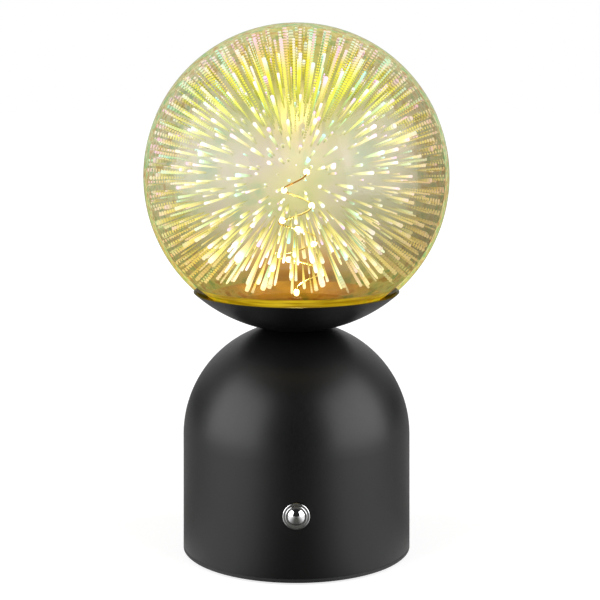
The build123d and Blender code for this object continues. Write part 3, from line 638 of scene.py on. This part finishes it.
def mirror_film():
    """Half-mirror film with a painted glow that stands for the light thrown about inside: amber near the
    bowl, grey at the middle and yellow above, with pearly drifts. In the painted glow the low sides turn
    olive, and yellow beside the bowl; the right side is a darker brown and the space below the middle a dark
    olive, both painted shade. Along the view the upper sides take a painted pale grey sheen, and small tinted
    patches of painted sheen show. Low down, near its edge, its mirror is darker, which is painted shade. From
    inside the film covers nearly all, from outside little, but more near its edge and along the view. Below
    its edge the bare glass carries a painted amber glow."""
    middle = globe_centre[2]
    olive, tan = (0.06, 0.16, 0.1), (0.36, 0.25, 0.08)
    brown, dark_brown, dusk = (0.17, 0.115, 0.06), (0.06, 0.04, 0.025), (0.13, 0.12, 0.07)
    dark_olive, pale_grey, straw = (0.24, 0.26, 0.1), (0.54, 0.5, 0.49), (0.46, 0.4, 0.1)
    dark_amber, amber_light = (0.42, 0.26, 0.004), (0.84, 0.6, 0.02)
    inner_silver, outer_silver, painted_shade_silver = (0.27, 0.26, 0.17), (0.42, 0.42, 0.4), (0.06, 0.032, 0.004)
    made, tree, output = empty_material("globe_film")
    here = place(tree, "TexCoord").outputs["Object"]
    sideways, _, height = object_axes(tree)
    aside = maths(tree, "ABSOLUTE", sideways)
    facing = slant(tree)
    outside = place(tree, "NewGeometry").outputs["Backfacing"]

    # Its painted glow: by height, then drifts, then each part of the globe in turn.
    level = ramp(tree, spread(tree, height, globe_low.z, globe_high.z), (0.05, (0.3, 0.11, 0.001)),
                 (0.1, (0.58, 0.25, 0.006)), (0.17, (0.5, 0.37, 0.1)), (0.36, (0.29, 0.28, 0.16)),
                 (0.5, (0.4, 0.375, 0.32)), (0.65, (0.29, 0.29, 0.1)), (0.8, (0.28, 0.27, 0.01)),
                 (0.94, (0.6, 0.48, 0.1)))
    drift = noise(tree, here, 55.0, 3.0, 0.6)
    pearl = ramp(tree, drift, (0.34, (0.12, 0.38, 0.28)), (0.46, (0.48, 0.5, 0.36)),
                 (0.56, (0.6, 0.52, 0.5)), (0.68, (0.52, 0.42, 0.6)))
    pearly = maths(tree, "MINIMUM", spread(tree, height, film_edge + 0.003, film_edge + 0.02, 0.05, 0.5),
                   spread(tree, height, middle, middle + 0.03, 0.5, 0.2))
    glow = between(tree, pearly, level, pearl)
    low_side = times(tree, spread(tree, aside, 0.012, 0.036),
                     spread(tree, height, film_edge + 0.015, film_edge + 0.045, 0.7, 0.0))
    glow = between(tree, low_side, glow, between(tree, drift, olive, tan))
    # Painted shade: the glow turns a darker brown on the right side.
    glow = between(tree, spread(tree, sideways, 0.022, 0.052, 0.0, 0.75), glow, brown)
    glow = between(tree, spread(tree, sideways, 0.042, 0.056, 0.0, 0.7), glow, dark_brown)
    # Painted shade: a dim glow at the lower right of the middle.
    painted_shade_right_low = times(tree, spread(tree, sideways, 0.006, 0.026, 0.0, 0.5),
                      spread(tree, height, middle - 0.014, middle + 0.004, 1.0, 0.0))
    glow = between(tree, painted_shade_right_low, glow, dusk)
    # Painted shade: a dark olive glow below the middle.
    below = maths(tree, "MINIMUM", spread(tree, height, middle - 0.03, middle - 0.02),
                  spread(tree, height, middle - 0.004, middle + 0.004, 1.0, 0.0))
    glow = between(tree, times(tree, below, spread(tree, aside, 0.006, 0.016, 0.55, 0.0)), glow, dark_olive)
    # Painted sheen: the upper sides turn pale grey along the view.
    high_side = times(tree, spread(tree, aside, 0.014, 0.03), spread(tree, facing, 0.16, 0.45),
                      spread(tree, height, middle - 0.022, middle + 0.01, 0.0, 0.75),
                      spread(tree, sideways, 0.0, 0.03, 1.0, 0.5))
    glow = between(tree, high_side, glow, pale_grey)
    foot_side = times(tree, spread(tree, aside, 0.014, 0.03),
                      spread(tree, height, film_edge + 0.004, film_edge + 0.012, 0.85, 0.0))
    glow = between(tree, foot_side, glow, straw)
    # Painted sheen: small tinted patches on the glow, stronger along the view.
    tint_colour = ramp(tree, noise(tree, here, 210.0, 1.5), (0.36, (0.26, 0.62, 0.5)), (0.45, (0.9, 0.95, 0.7)),
                 (0.54, (1.0, 1.0, 1.0)), (0.64, (0.66, 0.4, 0.16)))
    glow = tinted(tree, spread(tree, facing, 0.2, 0.5, 0.0, 0.9), glow, tint_colour)

    # The bare glass below the film's edge, in level waves of painted amber glow.
    flat_waves = place(tree, "Mapping", {"Vector": here, "Scale": (60.0, 60.0, 800.0)}).outputs[0]
    bare = between(tree, spread(tree, noise(tree, flat_waves, 1.0, 2.0), 0.4, 0.62), dark_amber, amber_light)

    # How much it covers, from inside and from outside, with and without film.
    inside_share, bare_share = 0.96, 0.92
    patches = noise(tree, here, 75.0, 2.0)
    coated = spread(tree, height, film_edge, film_edge + 0.0004)
    haze = spread(tree, patches, 0.3, 0.7, 0.05, 0.11)
    haze = maths(tree, "ADD", haze, spread(tree, facing, 0.3, 0.7, 0.0, 0.07))
    haze = maths(tree, "ADD", haze, spread(tree, height, film_edge + 0.0015, film_edge + 0.006, 0.6, 0.0))
    share = spread(tree, coated, 0.0, 1.0, spread(tree, outside, 0.0, 1.0, 1.0, bare_share),
                   spread(tree, outside, 0.0, 1.0, inside_share, haze))
    glowing = maths(tree, "MAXIMUM", coated, maths(tree, "SUBTRACT", 1.0, outside))
    silver = between(tree, outside, inner_silver, outer_silver)
    # Painted shade: the mirror turns dark low on the film, near its edge.
    silver = between(tree, spread(tree, height, film_edge + 0.004, film_edge + 0.026), painted_shade_silver, silver)
    skin = place(tree, "BsdfPrincipled", {
        "Base Color": silver,
        "Metallic": 1.0,
        "Roughness": spread(tree, patches, 0.3, 0.7, 0.3, 0.38),
        "Emission Color": between(tree, glowing, bare, glow),
        "Emission Strength": 1.0,
    })
    through = place(tree, "BsdfTransparent", {"Color": (0.97, 0.97, 0.94)})
    mixed = place(tree, "MixShader", {0: share, 1: through.outputs[0], 2: skin.outputs[0]})
    tree.links.new(mixed.outputs[0], output.inputs["Surface"])
    made.cycles.emission_sampling = "NONE"
    return made


shell_points, shell_faces, outside_faces = glass_shell()
globe = add_piece("globe_blown", shell_points, shell_faces, clear_glass())
globe.data.materials.append(mirror_film())
side_of_wall = np.zeros(len(shell_faces), dtype=np.int32)
side_of_wall[outside_faces:] = 1
globe.data.polygons.foreach_set("material_index", side_of_wall)
globe.data.set_sharp_from_angle(angle=mouth_corner)
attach(globe, "lamp")
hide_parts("globe")


# Trails of light behind the film.
# Each dot that is left clear in the film sends back a row of mirror images, every one deeper than the last,
# which points at the middle of the globe. Strong ones run into a streak, faint ones stay a ladder of dots.

def trail_feet(count, seed, low, high, across=1.0):
    """Feet of trails on the film: an even spiral over the sphere between two sines of latitude, each foot
    moved a little at random, without those whose cosine of azimuth is over across. Gives the random draws,
    each foot's sine of latitude, and its directions outwards, sideways and up along the film."""
    uneven_rise, uneven_turn, clear_of_edge = 0.015, 0.06, 0.0025
    golden_turn = np.pi * (3 - np.sqrt(5))
    chance = np.random.default_rng(seed)
    number = np.arange(count)
    rise = high - (high - low) * (number + 0.5) / count + chance.normal(0, uneven_rise, count)
    rise = np.clip(rise, -1, 1)
    angle = number * golden_turn + chance.normal(0, uneven_turn, count)
    kept = globe_centre[2] + film_radius * rise > film_edge + clear_of_edge
    kept &= np.abs(np.cos(angle)) <= across
    rise, angle = rise[kept], angle[kept]
    flat = np.sqrt(1 - rise**2)
    out = np.stack([flat * np.cos(angle), flat * np.sin(angle), rise], axis=1)
    side = np.stack([-np.sin(angle), np.cos(angle), np.zeros_like(angle)], axis=1)
    return chance, rise, out, side, np.cross(out, side)


def trail_lengths(chance, rise, reach):
    """Length of each trail: the first of reach at the globe's middle, growing by the second to the top and by
    the third to the bottom, uneven by chance."""
    middle, above, below = reach
    upper, lower = np.clip(rise, 0, 1), np.clip(-rise, 0, 1)
    return (middle + above * upper**2 + below * lower**1.2) * chance.uniform(0.6, 1.4, len(rise))


def light_streaks(count, seed, low, high, girth, reach, across=1.0, sides=6):
    """Needles that stand on the film and point at the globe's centre: rings whose width follows the depth,
    most of them slim and a few stout. Gives points, faces, and for each point its share of the needle's
    length, its depth in centimetres and its needle's own random number."""
    foot_depth = 0.0002
    rings = np.array([0.0, 0.015, 0.07, 0.25, 0.5, 0.75, 1.0])
    widths = np.array([0.45, 0.85, 1.0, 0.88, 0.6, 0.33, 0.06])
    chance, rise, out, side, third = trail_feet(count, seed, low, high, across)
    length = trail_lengths(chance, rise, reach)
    width = girth * (0.6 + 1.4 * chance.uniform(0, 1, len(rise)) ** 5)
    turn = np.linspace(0, 2 * np.pi, sides, endpoint=False)
    ring = np.cos(turn)[None, :, None] * side[:, None] + np.sin(turn)[None, :, None] * third[:, None]
    depth = foot_depth + length[:, None] * rings[None]
    along = (film_radius - depth)[:, :, None, None] * out[:, None, None]
    points = along + (width[:, None] * widths)[:, :, None, None] * ring[:, None]
    per_trail = len(rings) * sides
    first = (np.arange(len(rise)) * per_trail)[:, None, None]
    faces = (grid_faces(len(rings), sides)[None] + first).reshape(-1, 4).tolist()
    heads = (np.arange(sides)[::-1][None] + first[:, 0]).tolist()
    tips = (np.arange(per_trail - sides, per_trail)[None] + first[:, 0]).tolist()
    share = np.broadcast_to(rings[None, :, None], points.shape[:3])
    depths = np.broadcast_to(depth[:, :, None], points.shape[:3])
    own = np.broadcast_to(chance.uniform(0, 1, len(rise))[:, None, None], points.shape[:3])
    marks = np.stack([share, depths * 100, own, np.ones_like(share)], axis=-1)
    return points.reshape(-1, 3) + globe_centre, faces + heads + tips, marks.reshape(-1, 4)


def light_ladders(count, seed, low, high, girth, reach, pitch, sides=6):
    """Rows of flat dots that stand behind the film, a pitch apart, and point at the globe's centre. A dot is
    a low drum, nearly half a pitch thick, and shrinks with its depth. Gives the same as light_streaks, with
    no depth."""
    foot_depth, half_thick = 0.0003, 0.23
    chance, rise, out, side, third = trail_feet(count, seed, low, high)
    length = trail_lengths(chance, rise, reach)
    width = girth * (0.55 + 0.45 * chance.uniform(0, 1, len(rise)))
    tone = chance.uniform(0, 1, len(rise))
    steps = np.arange(math.ceil(length.max() / pitch)) * pitch
    row, step = np.nonzero(steps[None] < length[:, None])
    depth = foot_depth + steps[step]
    share = steps[step] / length[row]
    turn = np.linspace(0, 2 * np.pi, sides, endpoint=False)
    ring = np.cos(turn)[None, :, None] * side[row, None] + np.sin(turn)[None, :, None] * third[row, None]
    ring = (width[row] * (1 - 0.5 * share))[:, None, None] * ring
    half = half_thick * pitch * out[row][:, None]
    drum = np.concatenate([ring + half, ring - half], axis=1)
    points = ((film_radius - depth)[:, None] * out[row])[:, None] + drum
    first = (np.arange(len(row)) * 2 * sides)[:, None, None]
    faces = (grid_faces(2, sides)[None] + first).reshape(-1, 4).tolist()
    heads = (np.arange(sides)[::-1][None] + first[:, 0]).tolist()
    tips = (np.arange(sides, 2 * sides)[None] + first[:, 0]).tolist()
    marks = np.stack([share, np.zeros_like(share), tone[row], np.ones_like(share)], axis=-1)
    return points.reshape(-1, 3) + globe_centre, faces + heads + tips, np.repeat(marks, 2 * sides, axis=0)


def trail_finish(name, head, body, tail, gap):
    """Trail: its head as bright as head, then body, then fading to tail, in rungs whose gaps keep a share of
    the light, the first of gap below the globe's middle and the second above. Trails are orange-yellow above,
    pale at the middle and amber below, golden at the low sides, brown on the right, dim at the lower right.
    Heads are white with a tint, amber low down, and single trails are tinted green or rose."""
    rung_pitch = 0.12
    green, rose, hot_amber = (0.34, 0.95, 0.58), (1.0, 0.62, 0.42), (1.0, 0.8, 0.32)
    golden, brown, dim = (0.86, 0.62, 0.06), (0.68, 0.34, 0.06), (0.4, 0.36, 0.2)
    made, tree, output = empty_material(name)
    mark = place(tree, "Attribute", attribute_name="trail")
    share, depth, own = place(tree, "SeparateColor", {0: mark.outputs["Color"]}).outputs
    sideways, _, height = object_axes(tree)
    level = spread(tree, height, film_edge, globe_high.z)
    tint = ramp(tree, own, (0.0, (1.0, 0.62, 0.98)), (0.4, (1.0, 0.88, 0.96)), (0.7, (1.0, 0.97, 0.82)),
                (0.95, (0.58, 1.0, 0.92)))
    tint = between(tree, spread(tree, level, 0.05, 0.2, 0.85, 0.0), tint, hot_amber)
    flank = ramp(tree, level, (0.05, (1.0, 0.66, 0.1)), (0.2, (1.0, 0.92, 0.26)), (0.5, (0.95, 0.93, 0.42)),
                 (0.72, (0.93, 0.97, 0.1)), (0.9, (1.0, 0.8, 0.03)))
    flank = between(tree, spread(tree, own, 0.8, 0.92, 0.0, 0.65), flank, green)
    flank = between(tree, spread(tree, own, 0.1, 0.25, 0.5, 0.0), flank, rose)
    end = ramp(tree, level, (0.05, (0.5, 0.26, 0.02)), (0.25, (0.66, 0.64, 0.14)), (0.5, (0.74, 0.72, 0.4)),
               (0.75, (0.64, 0.64, 0.04)), (0.9, (0.72, 0.56, 0.02)))
    shade = between(tree, spread(tree, share, 0.04, 0.3), tint, flank)
    shade = between(tree, spread(tree, share, 0.4, 1.0), shade, end)
    low_side = times(tree, spread(tree, maths(tree, "ABSOLUTE", sideways), 0.022, 0.042),
                     spread(tree, level, 0.2, 0.5, 0.55, 0.0))
    shade = between(tree, low_side, shade, golden)
    shade = between(tree, spread(tree, sideways, 0.03, 0.055, 0.0, 0.55), shade, brown)
    # Painted shade: the trails dim at the lower right.
    painted_shade_right_low = times(tree, spread(tree, sideways, 0.006, 0.026, 0.0, 0.45),
                      spread(tree, level, 0.3, 0.5, 1.0, 0.0))
    shade = between(tree, painted_shade_right_low, shade, dim)
    rung = maths(tree, "SINE", times(tree, depth, 2 * math.pi / rung_pitch))
    rung = spread(tree, rung, -0.5, 0.5, spread(tree, level, 0.45, 0.6, *gap), 1.0)
    power = maths(tree, "ADD", spread(tree, share, 0.05, 0.35, head, body),
                  spread(tree, share, 0.4, 1.0, 0.0, tail - body))
    coat(tree, output, {
        "Base Color": (0.02, 0.02, 0.01),
        "Roughness": 0.6,
        "Emission Color": tinted(tree, 1.0, shade, times(tree, power, rung)),
        "Emission Strength": 1.0,
    })
    made.cycles.emission_sampling = "NONE"
    return made


def add_trails(name, trails, material):
    """New object of trails, with the marks that its finish reads, fixed to the lamp."""
    points, faces, marks = trails
    made = add_piece(name, points, faces, material)
    layer = made.data.attributes.new("trail", "FLOAT_COLOR", "POINT")
    layer.data.foreach_set("color", marks.astype(np.float32).ravel())
    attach(made, "lamp")


streaks = light_streaks(
    count=520, seed=11, low=-1.0, high=1.0, girth=0.00055, reach=(0.0065, 0.011, 0.022))
beams = light_streaks(
    count=240, seed=5, low=-0.74, high=-0.34, girth=0.00082, reach=(0.0081, 0.0, 0.03), across=0.68)
ladders = light_ladders(
    count=460, seed=29, low=-1.0, high=1.0, girth=0.00085, reach=(0.0117, 0.0198, 0.005), pitch=0.00105)
streak_light = trail_finish("streak_light", head=1.4, body=1.0, tail=0.45, gap=(0.8, 0.55))
beam_light = trail_finish("beam_light", head=2.2, body=1.4, tail=0.65, gap=(0.85, 0.85))
ladder_light = trail_finish("ladder_light", head=1.5, body=1.3, tail=0.7, gap=(1.0, 1.0))
add_trails("light_streaks", streaks, streak_light)
add_trails("light_beams", beams, beam_light)
add_trails("light_ladders", ladders, ladder_light)


# Studio: floor, world, soft boxes, the lamp's own light and the camera.
# Two large square soft boxes stand left and right of the camera and leave a dark gap between them. The white
# behind the lamp is the world's and the floor's own colour, which metal and glass show too.

def seen(tree, mirror):
    """1 for a ray from the camera or through glass, mirror for one from a mirror, and 0 for any other."""
    path = place(tree, "LightPath").outputs
    mirrored = times(tree, path["Is Glossy Ray"], mirror)
    either = maths(tree, "MAXIMUM", path["Is Camera Ray"], mirrored)
    return maths(tree, "MAXIMUM", either, path["Is Transmission Ray"])


def floor_finish():
    """White paper that keeps a soft shadow: part of its white is its own, all of it further off, and the rest
    is the light it gets. Only in a mirror does it show a painted reflection: its white beside the lamp, and
    painted darkness behind it and in front of it."""
    paper_grey, painted_dark_paper = (0.42, 0.42, 0.42), (0.05, 0.05, 0.04)
    made, tree, output = empty_material("floor_paper")
    here = place(tree, "TexCoord").outputs["Object"]
    away = place(tree, "VectorMath", {0: here}, operation="LENGTH").outputs["Value"]
    backwards = maths(tree, "DIVIDE", object_axes(tree)["Y"], away)
    # Painted reflection: in a mirror the floor is white beside the lamp and dim in front and behind.
    painted_mirror_white = maths(tree, "MINIMUM", spread(tree, backwards, -0.99, -0.78, 0.03, 0.8),
                   spread(tree, backwards, -0.4, 0.25, 0.8, 0.08))
    # Painted shade: in a mirror the paper turns dark in front of the lamp.
    mirrored = place(tree, "LightPath").outputs["Is Glossy Ray"]
    painted_mirror_dark = times(tree, mirrored, spread(tree, backwards, -0.99, -0.78, 1.0, 0.0))
    coat(tree, output, {
        "Base Color": between(tree, painted_mirror_dark, paper_grey, painted_dark_paper),
        "Roughness": 0.9,
        "Emission Color": (1, 1, 1),
        "Emission Strength": times(tree, seen(tree, painted_mirror_white), spread(tree, away, 0.15, 0.7, 0.74, 1.0)),
    })
    return made


floor_half = 4.0
floor_points = np.array([[-1, -1, 0], [1, -1, 0], [1, 1, 0], [-1, 1, 0]]) * floor_half
floor = add_piece("floor", floor_points, [[0, 1, 2, 3]], floor_finish(), smooth=False)

# In a mirror the world is white only behind the lamp, and from beside it to behind it above the horizon,
# which lights the shoulders of the base.
sky_fill, sky_least = 0.28, 0.02
world = bpy.data.worlds.new("studio")
bpy.context.scene.world = world
world.use_nodes = True
sky = world.node_tree
sky.nodes.clear()
toward = place(sky, "SeparateXYZ", {0: place(sky, "TexCoord").outputs["Generated"]}).outputs
behind = spread(sky, toward["Y"], 0.8, 0.98, 0.0, 0.8)
above = maths(sky, "MAXIMUM", spread(sky, toward["Y"], -0.25, 0.05, 0.0, 0.4),
              spread(sky, toward["Y"], 0.35, 0.85))
above = times(sky, above, spread(sky, toward["Z"], 0.0, 0.35, 0.0, 0.9))
white = seen(sky, maths(sky, "MAXIMUM", behind, above))
soft = times(sky, place(sky, "LightPath").outputs["Is Diffuse Ray"], sky_fill)
strength = maths(sky, "MAXIMUM", maths(sky, "MAXIMUM", white, soft), sky_least)
back = place(sky, "Background", {"Color": (1, 1, 1), "Strength": strength})
sky.links.new(back.outputs[0], place(sky, "OutputWorld").inputs["Surface"])

box_side, box_power = 1.2, 14.4
box_away, box_height = 0.95, 0.42
box_azimuth, box_tilt = math.radians(67), math.radians(84)
for side in (-1, 1):
    box = bpy.data.lights.new("soft_box", "AREA")
    box.shape = "RECTANGLE"
    box.size, box.size_y = box_side, box_side
    box.energy = box_power
    azimuth = side * box_azimuth
    box_at = add_object("soft_box", box)
    box_at.location = (box_away * math.sin(azimuth), -box_away * math.cos(azimuth), box_height)
    box_at.rotation_euler = Euler((box_tilt, 0, azimuth))

# The light wire's own light: a strong one at its foot and a faint one at the globe's middle, each with its
# height, colour, power and size.
wire_glows = (
    (riser_top + 0.005, (1.0, 0.82, 0.28), 0.07, 0.004),
    (globe_centre[2], (1.0, 0.95, 0.6), 0.012, 0.012),
)
for height, tone, power, size in wire_glows:
    glow = bpy.data.lights.new("lit_wire", "POINT")
    glow.color = tone
    glow.energy = power
    glow.shadow_soft_size = size
    add_object("lit_wire", glow).location = (0, 0, height)

bpy.context.scene.view_settings.view_transform = "Standard"
look_down = 9.37
camera = bpy.data.cameras.new("camera")
camera.lens = 92.1
camera.sensor_width = 36.0
camera_at = add_object("camera", camera)
camera_at.location = (0.0014, -0.6038, 0.2019)
camera_at.rotation_euler = Euler((math.radians(90 - look_down), 0, 0))
bpy.context.scene.camera = camera_at
